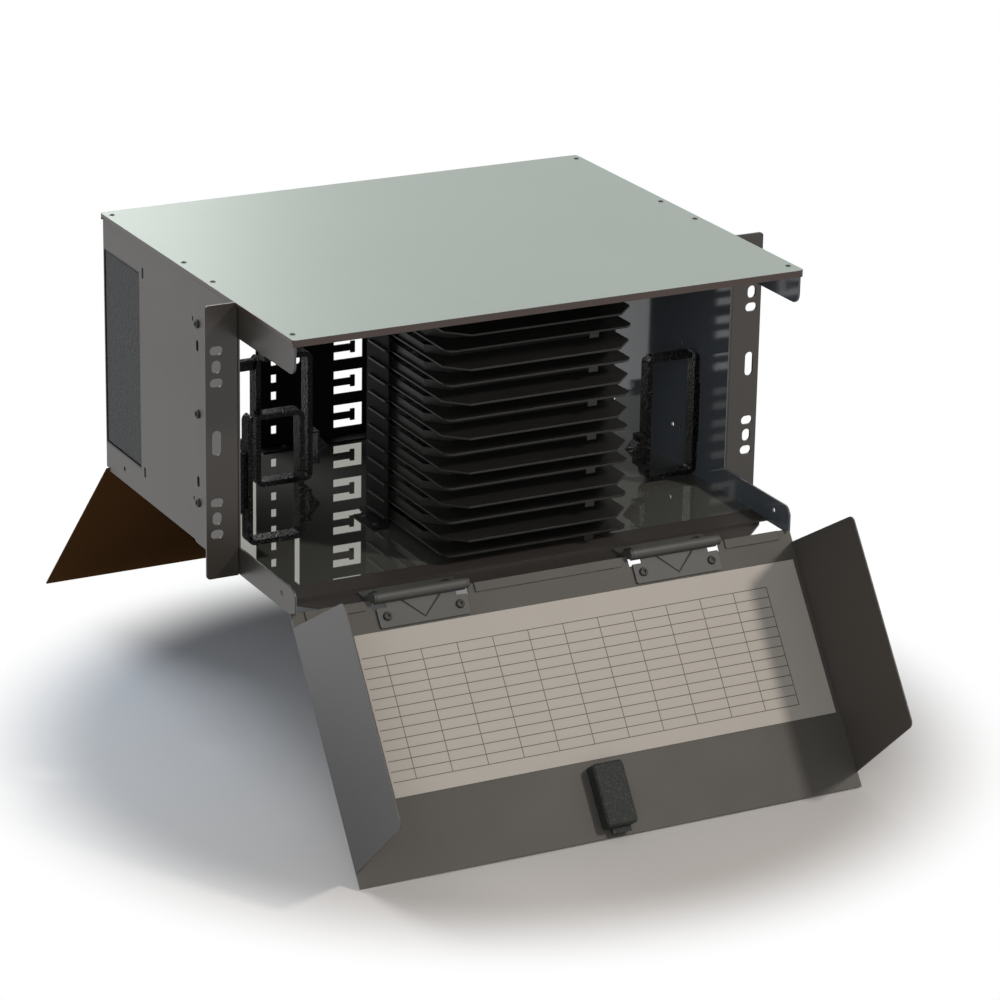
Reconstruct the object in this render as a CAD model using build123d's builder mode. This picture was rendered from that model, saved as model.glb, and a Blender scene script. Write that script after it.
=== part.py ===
from build123d import *
import math
import os

# Rack-mounted fibre splice box with drop-down doors and a stack of sliding splice trays.
# X runs across the rack, Y from front to back, Z up.
# The origin is the centre of the rack hole pattern, on the front face of the ears.

# Sheet metal
SHEET = 1.5
EAR_SHEET = 1.8
DOOR_SHEET = 1.2
FIT_GAP = 0.3

# Case
CASE_BOTTOM = -108.0
CASE_TOP = 107.25
COVER_FRONT = -102.4
COVER_BACK = 266.1
COVER_SIDE_GAP = 0.4
COVER_LIP_DEPTH = 5.5
COVER_SIDE_LIP_DEPTH = 3.0
COVER_CORNER_R = 3.0
WALL_FLANGE = 14.0
STRIP_HEIGHT = 21.65
TOP_STRIP_HEIGHT = 26.6
STRIP_FRONT = -101.5
STRIP_CORNER_R = 8.0
STRIP_RELIEF = 2.0
STRIP_RELIEF_LENGTH = 6.0
WALL_HOLE_Y = 84.5
WALL_HOLE_SPACING = 73.2
WALL_SLOT_LENGTH = 9.0
WALL_SLOT_WIDTH = 3.5
WALL_SLOT_GAP = 6.5
FOOT_HOLE_Y = 226.0
FOOT_HOLE_RISE = 12.0
STRIP_HOLE_Y = -78.0
STRIP_HOLE_RISE = 12.1
BEND_R = 1.0

# Cable entries in the side walls
ENTRY_FRONT = 190.0
ENTRY_LOW = -85.35
ENTRY_HIGH = 80.65
ENTRY_BORDER = 1.6
ENTRY_DEPTH = 5.0
ENTRY_LIP = 4.0
FOAM_RECESS = 0.4

# Floor and its front shelf
FLOOR_FRONT = -69.0
FLOOR_BACK = 255.7
SHELF_DROP = 2.5
SHELF_FRONT = -92.0
SHELF_SIDE_INSET = 7.1
SHELF_TAPER = 24.0

# Rack ears
RACK_HOLE_SPAN = 465.1
EAR_EDGE = 8.75
EAR_INSET = 17.95
EAR_HEIGHT = 217.5
EAR_CORNER_R = 3.0
EAR_LEG_LENGTH = 80.0
EAR_LEG_CENTRE_Z = -1.35
EAR_LEG_HALF_HEIGHT = 106.8
RACK_SLOT_LENGTH = 10.3
RACK_SLOT_WIDTH = 7.3
RACK_OUTER_Z = 73.025
RACK_MIDDLE_Z = 60.325
RACK_INNER_Z = 47.625
RACK_CENTRE_SLOT_LENGTH = 20.0
EAR_SCREW_Y = 72.4
EAR_SCREW_SPACING = 72.6
EAR_SLOT_SPACING = 55.05
EAR_SLOT_LENGTH = 9.0
EAR_SLOT_WIDTH = 4.5

# Hinges
BARREL_R = 4.0
BARREL_BORE_R = 2.5
PIN_CLEARANCE = 0.05
COVER_DOOR_GAP = 1.5
HINGE_OFFSET = 110.0
LEAF_WIDTH = 76.2
LEAF_HEIGHT = 23.4
LEAF_SCREW_OFFSET = 30.5
LEAF_SCREW_Y = 14.8
BRACKET_CLEARANCE = 0.15
BRACKET_DEPTH = 19.0
DOOR_NOTCH_DEPTH = 8.5
DOOR_NOTCH_GAP = 0.4
LEAF_CORNER_R = 2.0
TONGUE_HALF = 17.0
TONGUE_ROOT = 4.5
TONGUE_TIP = 20.0
TONGUE_SLIT = 1.2
TONGUE_SINK = 0.6
LUG_FOOT_REACH = 0.5
LUG_FOOT_BACK = 8.0
REAR_LUG_REACH = 4.0
LUG_SLOPE = 1.0
LEAF_NOTCH_LENGTH = 8.5
LEAF_NOTCH_LOW = 4.2
LEAF_NOTCH_HIGH = 7.6
HEM_STOP_GAP = 6.0

# Doors
FRONT_DOOR_DROP = 54.57
REAR_DOOR_DROP = 46.6
DOOR_EDGE = 0.4
REAR_DOOR_HEIGHT = 207.0
DOOR_HEM = 7.3
DOOR_HEM_INSET = 11.5
FLANGE_DEPTH = 99.0
FLANGE_LOW = 11.0
FLANGE_LOW_RISE = 8.0
FLANGE_HIGH = 200.0
FLANGE_HIGH_FALL = 12.5
FLANGE_CORNER_R = 6.0
LABEL_LEFT_INSET = 45.5
LABEL_RIGHT_INSET = 4.5
LABEL_LOW = 25.1
LABEL_HIGH = 151.1
LABEL_SHEET = 0.4

# Door latches
LATCH_X = 1.0
LATCH_WIDTH = 26.0
LATCH_LOW = 156.0
LATCH_HIGH = 205.5
LATCH_DEPTH = 12.0
LATCH_WALL = 2.0
LATCH_TRAVEL = 6.0
TONGUE_WIDTH = 16.0
TONGUE_SHEET = 2.7
TONGUE_LIP_GAP = 0.5
TONGUE_TOP_GAP = 0.25
SLIDE_LOW = 172.0
SLIDE_HIGH = 197.0
THUMB_LOW = 178.0
THUMB_HEIGHT = 7.0
THUMB_REACH = 4.0
SPRING_SHEET = 0.6
SPRING_WIDTH = 5.0
LATCH_CORNER_R = 3.0
LATCH_EDGE = 1.5

# Splice trays
TRAY_CENTRE_X = 11.75
TRAY_HALF_WIDTH = 80.25
TRAY_BACK = 72.0
TRAY_FRONT = -59.0
TRAY_LONG_FRONT = -67.0
TRAY_CORNER_START = -51.0
TRAY_PITCH = 13.775
TRAY_HINGE_CLEARANCE = 0.45
TRAY_PLATE = 1.6
TRAY_WALL = 1.2
TRAY_HEIGHT = 8.0
TRAY_RIM_FRONT = -31.0
TRAY_RIM_INSET = 2.0
TRAY_RIM_CHAMFER = 16.0
HUB_OFFSET = 34.0
HUB_R = 24.0
HUB_SIDES = 12
HUB_Y = 20.0
COMB_RIBS = 7
COMB_PITCH = 4.0
COMB_LENGTH = 26.0
COMB_HEIGHT = 5.0
TAB_WIDTH = 8.0
TAB_DROP = 4.0
TAB_X = 57.0
WING_REACH = 4.0
WING_FRONT = 40.0
WING_BACK = 70.0

# Tray holder
HOLDER_FRONT = 38.0
HOLDER_BACK = 75.0
HOLDER_TRAY_GAP = 0.5
HOLDER_SLOT_GAP = 0.15
HOLDER_FOOT = 12.0
HOLDER_HEADROOM = 1.0
HOLDER_TOOTH_LEAD = 1.2
HOLDER_WINDOW_PITCH = 76.0
HOLDER_WINDOW_WIDTH = 56.0
HOLDER_WINDOW_HEIGHT = 160.0
HOLDER_WINDOW_R = 8.0
HOLDER_RIVET_STEP = 10.0
HOLDER_BACK_RIVET_STEP = 55.0

# Cable rings
RING_WIDTH = 47.2
RING_HEIGHT = 104.0
RING_DEPTH = 12.0
RING_STRIP = 4.0
RING_CORNER_R = 6.0
RING_MOUTH = 3.0
RING_BRIDGE_REACH = 6.0
RING_BRIDGE_LOW = 12.6
RING_BRIDGE_HEIGHT = 26.0
RING_BRIDGE_STRIP = 1.4
RING_LIP_REACH = 7.5
RING_LIP_HEIGHT = 17.0
RING_PLATE_SHEET = 2.5
RING_PLATE_MARGIN = 3.0
RING_STEM_SHEET = 6.0
RIGHT_RING_Y = 48.5
RIGHT_RING_LOW = -103.5
RIGHT_RING_STAND_OFF = 1.25
RIGHT_RING_STEM = (30.0, 74.0)
LEFT_FRONT_RING_Y = 6.5
LEFT_FRONT_RING_LOW = -87.0
LEFT_FRONT_RING_STAND_OFF = 6.6
LEFT_FRONT_RING_STEM = (30.0, 74.0)
LEFT_REAR_RING_Y = 22.0
LEFT_REAR_RING_LOW = -47.0
LEFT_REAR_RING_STAND_OFF = 20.4
LEFT_REAR_RING_STEM = (94.0, 102.0)

# Rear tie panel
TIE_LEFT = -86.0
TIE_RIGHT = 140.0
TIE_Y = 253.0
TIE_FLANGE = 15.0
TIE_TOP_GAP = 1.0
TIE_SQUARE_X = -70.2
TIE_SQUARE_FIRST = 14.5
TIE_SQUARE_WIDTH = 5.0
TIE_SQUARE_HEIGHT = 7.2
TIE_SLOT_X = -48.7
TIE_SLOT_LOW = 69.0
TIE_SLOT_HIGH = 202.0
TIE_SLOT_WIDTH = 5.0
TIE_RIVET_SHARES = (0.1, 0.5, 0.9)
LANCE_X = -2.25
LANCE_MIRROR_X = 29.0
LANCE_WIDTH = 26.5
LANCE_HEIGHT = 20.0
LANCE_ARM = 7.0
LANCE_PITCH = 29.7
LANCE_FIRST = 8.0
LANCE_HEAD_WIDTH = 4.0
LANCE_HEAD_EXTRA = 2.0

# Screws and rivets
SCREW_HEAD_R = 3.5
SCREW_HEAD_HEIGHT = 1.8
SCREW_SHANK_R = 1.9
SCREW_HOLE_GAP = 0.1
RIVET_HEAD_R = 2.6
RIVET_HEAD_HEIGHT = 1.0
RIVET_SHANK_R = 1.5
COVER_SCREW_HEAD_R = 2.2
COVER_SCREW_HEAD_HEIGHT = 0.5
COVER_SCREW_SHANK_R = 1.4
FASTENER_SIDES = 12
COVER_SCREW_INSET = 2.6
COVER_SCREW_ROWS = (-88.0, 55.7, 111.0, 255.0)

# Worked out from the sizes above
EAR_HALF_SPAN = RACK_HOLE_SPAN / 2 + EAR_EDGE
CASE_HALF_WIDTH = RACK_HOLE_SPAN / 2 - EAR_INSET
INNER_HALF_WIDTH = CASE_HALF_WIDTH - SHEET
SHELF_BACK_HALF_WIDTH = INNER_HALF_WIDTH - SHELF_SIDE_INSET
SHELF_FRONT_HALF_WIDTH = SHELF_BACK_HALF_WIDTH - SHELF_TAPER
COVER_SCREW_X = INNER_HALF_WIDTH - COVER_SCREW_INSET
FLOOR_TOP = CASE_BOTTOM + SHEET
COVER_HALF_WIDTH = CASE_HALF_WIDTH + COVER_SIDE_GAP + SHEET
DOOR_HEM_HALF_WIDTH = COVER_HALF_WIDTH - DOOR_HEM_INSET
LABEL_LEFT = LABEL_LEFT_INSET - COVER_HALF_WIDTH
LABEL_RIGHT = COVER_HALF_WIDTH - LABEL_RIGHT_INSET
COVER_TOP = CASE_TOP + SHEET
WALL_FRONT = COVER_FRONT + SHEET + FIT_GAP
WALL_BACK = COVER_BACK - SHEET - FIT_GAP
SHELF_TOP = FLOOR_TOP - SHELF_DROP
AXIS_Z = SHELF_TOP + SHEET + BRACKET_CLEARANCE + BARREL_R
FRONT_AXIS_Y = COVER_FRONT - COVER_DOOR_GAP + BARREL_R
REAR_AXIS_Y = COVER_BACK + COVER_DOOR_GAP - BARREL_R
FRONT_DOOR_HEIGHT = COVER_TOP - AXIS_Z
DOOR_INNER = BARREL_R
TONGUE_OUT = BARREL_R - COVER_DOOR_GAP - SHEET - TONGUE_LIP_GAP
LUG_INNER = LEAF_WIDTH / 2 + FIT_GAP
LUG_OUTER = LUG_INNER + SHEET
HINGE_CENTRES = (-HINGE_OFFSET, HINGE_OFFSET)
TRAY_FIRST = AXIS_Z + BARREL_R + TRAY_HINGE_CLEARANCE
TRAY_COUNT = int((CASE_TOP - TRAY_FIRST - TRAY_HEIGHT) / TRAY_PITCH) + 1
TRAY_LEVELS = [TRAY_FIRST + TRAY_PITCH * index for index in range(TRAY_COUNT)]
HOLDER_TOP = TRAY_LEVELS[-1] + TRAY_HEIGHT + HOLDER_HEADROOM
HOLDER_INNER = TRAY_HALF_WIDTH + HOLDER_TRAY_GAP
SCREW_HOLE_R = SCREW_SHANK_R + SCREW_HOLE_GAP
RIVET_HOLE_R = RIVET_SHANK_R + SCREW_HOLE_GAP
COVER_SCREW_HOLE_R = COVER_SCREW_SHANK_R + SCREW_HOLE_GAP
EAR_LEG_TOP = EAR_LEG_CENTRE_Z + EAR_LEG_HALF_HEIGHT
EAR_LEG_BOTTOM = EAR_LEG_CENTRE_Z - EAR_LEG_HALF_HEIGHT

# Door frames: x along the hinge line, y towards the free edge, z out of the closed door
FRONT_DOWN = math.radians(FRONT_DOOR_DROP)
REAR_DOWN = math.radians(REAR_DOOR_DROP)
FRONT_DOOR_PLANE = Plane(
    origin=(0, FRONT_AXIS_Y, AXIS_Z),
    x_dir=(1, 0, 0),
    z_dir=(0, math.sin(FRONT_DOWN), -math.cos(FRONT_DOWN)),
)
REAR_DOOR_PLANE = Plane(
    origin=(0, REAR_AXIS_Y, AXIS_Z),
    x_dir=(-1, 0, 0),
    z_dir=(0, -math.sin(REAR_DOWN), -math.cos(REAR_DOWN)),
)

os.makedirs("parts", exist_ok=True)


def save(piece, node):
    """Label one finished piece and write it to its own file."""
    piece.part.label = node
    export_step(piece.part, f"parts/{node}.step")


def across(plane, x):
    """Plane square to a door's hinge line at x, drawn with y of the door to the right."""
    start = plane.from_local_coords(Vector(x, 0, 0))
    return Plane(origin=start, x_dir=plane.y_dir, z_dir=plane.x_dir)


def floor_rivet_spots():
    """Rivets through the feet of the tray holder and the tie panel, as X and Y."""
    holder_mid = (HOLDER_FRONT + HOLDER_BACK) / 2
    side = HOLDER_INNER + SHEET + HOLDER_FOOT / 2
    back = HOLDER_BACK + SHEET + HOLDER_FOOT / 2
    tie = TIE_Y - (TIE_FLANGE - SHEET) / 2
    side_steps = [step * HOLDER_RIVET_STEP for step in (-1, 1)]
    back_steps = [step * HOLDER_BACK_RIVET_STEP for step in (-1, 0, 1)]
    spots = [(TRAY_CENTRE_X + way * side, holder_mid + step) for way in (-1, 1) for step in side_steps]
    spots += [(TRAY_CENTRE_X + step, back) for step in back_steps]
    spots += [(TIE_LEFT + (TIE_RIGHT - TIE_LEFT) * share, tie) for share in TIE_RIVET_SHARES]
    return spots


def bracket_screw_spots(depth_start):
    """Two screws for each hinge bracket, as X and Y."""
    return [
        (centre + side * LEAF_SCREW_OFFSET, depth_start)
        for centre in HINGE_CENTRES
        for side in (-1, 1)
    ]


FRONT_BRACKET_SCREW_Y = SHELF_FRONT + BRACKET_DEPTH / 2
REAR_BRACKET_SCREW_Y = FLOOR_BACK - BRACKET_DEPTH / 2

# Floor: one sheet, joggled down at the front into a shelf for the front hinges
with BuildPart() as chassis_floor:
    with BuildSketch(Plane.XY.offset(CASE_BOTTOM)):
        with BuildLine():
            Polyline(
                (-INNER_HALF_WIDTH, FLOOR_FRONT),
                (INNER_HALF_WIDTH, FLOOR_FRONT),
                (INNER_HALF_WIDTH, FLOOR_BACK - LEAF_HEIGHT),
                (SHELF_BACK_HALF_WIDTH, FLOOR_BACK),
                (-SHELF_BACK_HALF_WIDTH, FLOOR_BACK),
                (-INNER_HALF_WIDTH, FLOOR_BACK - LEAF_HEIGHT),
                close=True,
            )
        make_face()
    extrude(amount=SHEET)
    with BuildSketch(Plane.XY.offset(SHELF_TOP - SHEET)):
        with BuildLine():
            Polyline(
                (-SHELF_BACK_HALF_WIDTH, FLOOR_FRONT),
                (-SHELF_FRONT_HALF_WIDTH, SHELF_FRONT),
                (SHELF_FRONT_HALF_WIDTH, SHELF_FRONT),
                (SHELF_BACK_HALF_WIDTH, FLOOR_FRONT),
                close=True,
            )
        make_face()
    extrude(amount=SHEET)
    with BuildSketch(Plane.XY.offset(SHELF_TOP - SHEET)):
        with Locations((0, FLOOR_FRONT)):
            Rectangle(2 * SHELF_BACK_HALF_WIDTH, SHEET, align=(Align.CENTER, Align.MIN))
    extrude(amount=SHELF_DROP + SHEET)
    with BuildSketch(Plane.XY.offset(FLOOR_TOP)):
        with Locations(*floor_rivet_spots()):
            Circle(RIVET_HOLE_R)
        with Locations(*bracket_screw_spots(REAR_BRACKET_SCREW_Y)):
            Circle(SCREW_HOLE_R)
    extrude(amount=-SHEET, mode=Mode.SUBTRACT)
    with BuildSketch(Plane.XY.offset(SHELF_TOP)):
        with Locations(*bracket_screw_spots(FRONT_BRACKET_SCREW_Y)):
            Circle(SCREW_HOLE_R)
    extrude(amount=-SHEET, mode=Mode.SUBTRACT)
save(chassis_floor, "chassis_floor")


def corner_at(sketch, x, y):
    """The vertex of a sketch that lies nearest to x and y."""
    return sketch.vertices().sort_by_distance((x, y, 0))[0]


def ear_screw_levels():
    """Heights of the three screws that hold an ear to its wall."""
    return [EAR_LEG_CENTRE_Z + step * EAR_SCREW_SPACING for step in (-1, 0, 1)]


# Side walls: full height behind the ears, a strip at the top and at the bottom in front
def side_wall(side, node):
    start = INNER_HALF_WIDTH if side > 0 else -CASE_HALF_WIDTH
    strip_top = CASE_BOTTOM + STRIP_HEIGHT
    top_strip_bottom = CASE_TOP - TOP_STRIP_HEIGHT
    relief_back = WALL_BACK - STRIP_RELIEF_LENGTH
    with BuildPart() as wall:
        with BuildSketch(Plane.YZ.offset(start)) as outline:
            with Locations((0, CASE_BOTTOM)):
                Rectangle(WALL_BACK, CASE_TOP - CASE_BOTTOM, align=(Align.MIN, Align.MIN))
            with Locations((0, CASE_TOP)):
                Rectangle(-WALL_FRONT, TOP_STRIP_HEIGHT, align=(Align.MAX, Align.MAX))
            with Locations((0, CASE_BOTTOM)):
                Rectangle(-STRIP_FRONT, STRIP_HEIGHT, align=(Align.MAX, Align.MIN))
            fillet(corner_at(outline, WALL_FRONT, top_strip_bottom), STRIP_CORNER_R)
            fillet(corner_at(outline, STRIP_FRONT, strip_top), STRIP_CORNER_R)
            with Locations((STRIP_FRONT, CASE_BOTTOM)):
                Rectangle(
                    STRIP_RELIEF_LENGTH,
                    STRIP_RELIEF,
                    align=(Align.MIN, Align.MIN),
                    mode=Mode.SUBTRACT,
                )
            with Locations((relief_back, CASE_BOTTOM)):
                Rectangle(
                    STRIP_RELIEF_LENGTH,
                    STRIP_RELIEF,
                    align=(Align.MIN, Align.MIN),
                    mode=Mode.SUBTRACT,
                )
            with Locations((ENTRY_FRONT, ENTRY_LOW)):
                Rectangle(
                    WALL_BACK - ENTRY_FRONT,
                    ENTRY_HIGH - ENTRY_LOW,
                    align=(Align.MIN, Align.MIN),
                    mode=Mode.SUBTRACT,
                )
            with Locations(*[(EAR_SCREW_Y, level) for level in ear_screw_levels()]):
                Circle(SCREW_HOLE_R, mode=Mode.SUBTRACT)
            with Locations(*[(WALL_HOLE_Y, EAR_LEG_CENTRE_Z + way * WALL_HOLE_SPACING) for way in (-1, 1)]):
                Circle(SCREW_HOLE_R, mode=Mode.SUBTRACT)
            with Locations(*[(ENTRY_FRONT - WALL_SLOT_GAP, level) for level in (ENTRY_LOW, ENTRY_HIGH)]):
                SlotOverall(WALL_SLOT_LENGTH, WALL_SLOT_WIDTH, rotation=90, mode=Mode.SUBTRACT)
            low_holes = [(FOOT_HOLE_Y, FOOT_HOLE_RISE), (STRIP_HOLE_Y, STRIP_HOLE_RISE)]
            with Locations(*[(y, CASE_BOTTOM + rise) for y, rise in low_holes]):
                Circle(SCREW_HOLE_R, mode=Mode.SUBTRACT)
        extrude(amount=SHEET)
        with BuildSketch(Plane.XY.offset(CASE_TOP)):
            with Locations((side * (INNER_HALF_WIDTH - WALL_FLANGE / 2), (WALL_FRONT + WALL_BACK) / 2)):
                Rectangle(WALL_FLANGE, WALL_BACK - WALL_FRONT)
            with Locations(*[(side * COVER_SCREW_X, y) for y in COVER_SCREW_ROWS]):
                Circle(COVER_SCREW_HOLE_R, mode=Mode.SUBTRACT)
        extrude(amount=-SHEET)
    save(wall, node)


side_wall(-1, "left_side_wall")
side_wall(1, "right_side_wall")

# Top cover: a shallow lid with a lip behind each door and short lips over the walls
with BuildPart() as top_cover:
    cover_mid = (COVER_FRONT + COVER_BACK) / 2
    cover_length = COVER_BACK - COVER_FRONT
    with BuildSketch(Plane.XY.offset(COVER_TOP)):
        with Locations((0, cover_mid)):
            RectangleRounded(2 * COVER_HALF_WIDTH, cover_length, COVER_CORNER_R)
    extrude(amount=-COVER_LIP_DEPTH)
    with BuildSketch(Plane.XY.offset(CASE_TOP)):
        with Locations((0, cover_mid)):
            Rectangle(2 * (COVER_HALF_WIDTH - SHEET), cover_length - 2 * SHEET)
    extrude(amount=-COVER_LIP_DEPTH, mode=Mode.SUBTRACT)
    with BuildSketch(Plane.XY.offset(COVER_TOP - COVER_SIDE_LIP_DEPTH)):
        with Locations((0, cover_mid)):
            Rectangle(2 * COVER_HALF_WIDTH, cover_length - 2 * SHEET)
    extrude(amount=-COVER_LIP_DEPTH, mode=Mode.SUBTRACT)
    with BuildSketch(Plane.XY.offset(COVER_TOP)):
        with Locations(*[(way * COVER_SCREW_X, y) for way in (-1, 1) for y in COVER_SCREW_ROWS]):
            Circle(COVER_SCREW_HOLE_R)
    extrude(amount=-SHEET, mode=Mode.SUBTRACT)
save(top_cover, "top_cover")


def fasteners(node, seats, head_r, head_height, shank_r, shank_length):
    """A group of alike screws or rivets, one on each seat plane, heads up the plane's z."""
    with BuildPart() as group:
        for seat in seats:
            with BuildSketch(seat):
                RegularPolygon(head_r, FASTENER_SIDES)
            extrude(amount=head_height)
            with BuildSketch(seat):
                RegularPolygon(shank_r, FASTENER_SIDES)
            extrude(amount=-shank_length)
    save(group, node)


def screws(node, seats, shank_length):
    fasteners(node, seats, SCREW_HEAD_R, SCREW_HEAD_HEIGHT, SCREW_SHANK_R, shank_length)


# Cover screws, low-headed, through the cover and the wall flanges
fasteners(
    "cover_screws",
    [
        Plane(origin=(way * COVER_SCREW_X, y, COVER_TOP), z_dir=(0, 0, 1))
        for way in (-1, 1)
        for y in COVER_SCREW_ROWS
    ],
    COVER_SCREW_HEAD_R,
    COVER_SCREW_HEAD_HEIGHT,
    COVER_SCREW_SHANK_R,
    2 * SHEET,
)


# Rack ears: an angle with the rack slots in front and a leg screwed to the wall
def rack_ear(side, node):
    foot = side * CASE_HALF_WIDTH
    plate_mid = side * (CASE_HALF_WIDTH + EAR_HALF_SPAN) / 2
    hole_x = side * RACK_HOLE_SPAN / 2
    notch_mid = side * (COVER_HALF_WIDTH + FIT_GAP + CASE_HALF_WIDTH) / 2
    with BuildPart() as ear:
        with BuildSketch(Plane.XZ) as face:
            with Locations((plate_mid, 0)):
                Rectangle(EAR_HALF_SPAN - CASE_HALF_WIDTH, EAR_HEIGHT)
            for way in (-1, 1):
                fillet(corner_at(face, side * EAR_HALF_SPAN, way * EAR_HEIGHT / 2), EAR_CORNER_R)
            with Locations((notch_mid, (EAR_HEIGHT / 2 + EAR_LEG_TOP) / 2)):
                Rectangle(
                    COVER_HALF_WIDTH + FIT_GAP - CASE_HALF_WIDTH,
                    EAR_HEIGHT / 2 - EAR_LEG_TOP,
                    mode=Mode.SUBTRACT,
                )
            levels = [way * level for way in (-1, 1) for level in (RACK_OUTER_Z, RACK_INNER_Z)]
            with Locations(*[(hole_x, level) for level in levels]):
                SlotOverall(RACK_SLOT_LENGTH, RACK_SLOT_WIDTH, mode=Mode.SUBTRACT)
            with Locations(*[(hole_x, way * RACK_MIDDLE_Z) for way in (-1, 1)]):
                SlotOverall(RACK_SLOT_LENGTH, RACK_SLOT_WIDTH, rotation=90, mode=Mode.SUBTRACT)
            with Locations((hole_x, 0)):
                SlotOverall(RACK_CENTRE_SLOT_LENGTH, RACK_SLOT_WIDTH, rotation=90, mode=Mode.SUBTRACT)
        extrude(amount=-EAR_SHEET)
        leg_start = CASE_HALF_WIDTH if side > 0 else -CASE_HALF_WIDTH - EAR_SHEET
        with BuildSketch(Plane.YZ.offset(leg_start)) as leg:
            with Locations((0, EAR_LEG_CENTRE_Z)):
                Rectangle(EAR_LEG_LENGTH, 2 * EAR_LEG_HALF_HEIGHT, align=(Align.MIN, Align.CENTER))
            for end in (EAR_LEG_BOTTOM, EAR_LEG_TOP):
                fillet(corner_at(leg, EAR_LEG_LENGTH, end), EAR_CORNER_R)
            with Locations(*[(EAR_SCREW_Y, level) for level in ear_screw_levels()]):
                Circle(SCREW_HOLE_R, mode=Mode.SUBTRACT)
            with Locations(*[(EAR_SCREW_Y, EAR_LEG_CENTRE_Z + way * EAR_SLOT_SPACING) for way in (-1, 1)]):
                SlotOverall(EAR_SLOT_LENGTH, EAR_SLOT_WIDTH, rotation=90, mode=Mode.SUBTRACT)
        extrude(amount=EAR_SHEET)
        for bend in ((foot + side * EAR_SHEET, EAR_SHEET, 0), (foot, 0, 0)):
            fillet(ear.edges().filter_by(Axis.Z).sort_by_distance(bend)[0], BEND_R)
    save(ear, node)


rack_ear(-1, "left_rack_ear")
rack_ear(1, "right_rack_ear")

# Ear screws, through each leg into the wall
screws(
    "ear_screws",
    [
        Plane(
            origin=(way * (CASE_HALF_WIDTH + EAR_SHEET), EAR_SCREW_Y, level),
            x_dir=(0, 1, 0),
            z_dir=(way, 0, 0),
        )
        for way in (-1, 1)
        for level in ear_screw_levels()
    ],
    EAR_SHEET + SHEET,
)

# Rear tie panel: a sheet of lanced tongues that cable ties wrap round
with BuildPart() as rear_tie_panel:
    tie_top = CASE_TOP - TIE_TOP_GAP
    lance_first_mid = FLOOR_TOP + LANCE_FIRST + LANCE_HEIGHT / 2
    lance_rows = int((tie_top - lance_first_mid - LANCE_HEIGHT / 2) / LANCE_PITCH) + 1
    lance_levels = [lance_first_mid + row * LANCE_PITCH for row in range(lance_rows)]
    square_pitch = LANCE_PITCH / 2
    square_low = FLOOR_TOP + TIE_SQUARE_FIRST
    square_rows = int((tie_top - TIE_SQUARE_HEIGHT - square_low) / square_pitch) + 1
    stem_length = LANCE_WIDTH - LANCE_ARM - LANCE_HEAD_WIDTH
    stem_height = LANCE_HEIGHT - 2 * LANCE_ARM
    with BuildSketch(Plane.XZ.offset(-TIE_Y)):
        with Locations((TIE_LEFT, FLOOR_TOP)):
            Rectangle(TIE_RIGHT - TIE_LEFT, tie_top - FLOOR_TOP, align=(Align.MIN, Align.MIN))
        for mirrored in (1, -1):
            centre_x = LANCE_MIRROR_X + mirrored * (LANCE_X - LANCE_MIRROR_X)
            root_x = centre_x - mirrored * LANCE_WIDTH / 2
            with Locations(*[(centre_x, level) for level in lance_levels]):
                Rectangle(LANCE_WIDTH, LANCE_HEIGHT, mode=Mode.SUBTRACT)
            with Locations(*[(root_x + mirrored * stem_length / 2, level) for level in lance_levels]):
                Rectangle(stem_length, stem_height)
            head_x = root_x + mirrored * (stem_length + LANCE_HEAD_WIDTH / 2)
            with Locations(*[(head_x, level) for level in lance_levels]):
                Rectangle(LANCE_HEAD_WIDTH, stem_height + 2 * LANCE_HEAD_EXTRA)
        with Locations(*[(TIE_SQUARE_X, square_low + row * square_pitch) for row in range(square_rows)]):
            Rectangle(TIE_SQUARE_WIDTH, TIE_SQUARE_HEIGHT, mode=Mode.SUBTRACT)
        with Locations((TIE_SLOT_X, FLOOR_TOP + (TIE_SLOT_LOW + TIE_SLOT_HIGH) / 2)):
            SlotOverall(TIE_SLOT_HIGH - TIE_SLOT_LOW, TIE_SLOT_WIDTH, rotation=90, mode=Mode.SUBTRACT)
    extrude(amount=-SHEET)
    with BuildSketch(Plane.XY.offset(FLOOR_TOP)):
        with Locations((TIE_LEFT, TIE_Y + SHEET)):
            Rectangle(TIE_RIGHT - TIE_LEFT, TIE_FLANGE + SHEET, align=(Align.MIN, Align.MAX))
        with Locations(*floor_rivet_spots()):
            Circle(RIVET_HOLE_R, mode=Mode.SUBTRACT)
    extrude(amount=SHEET)
save(rear_tie_panel, "rear_tie_panel")


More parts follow.
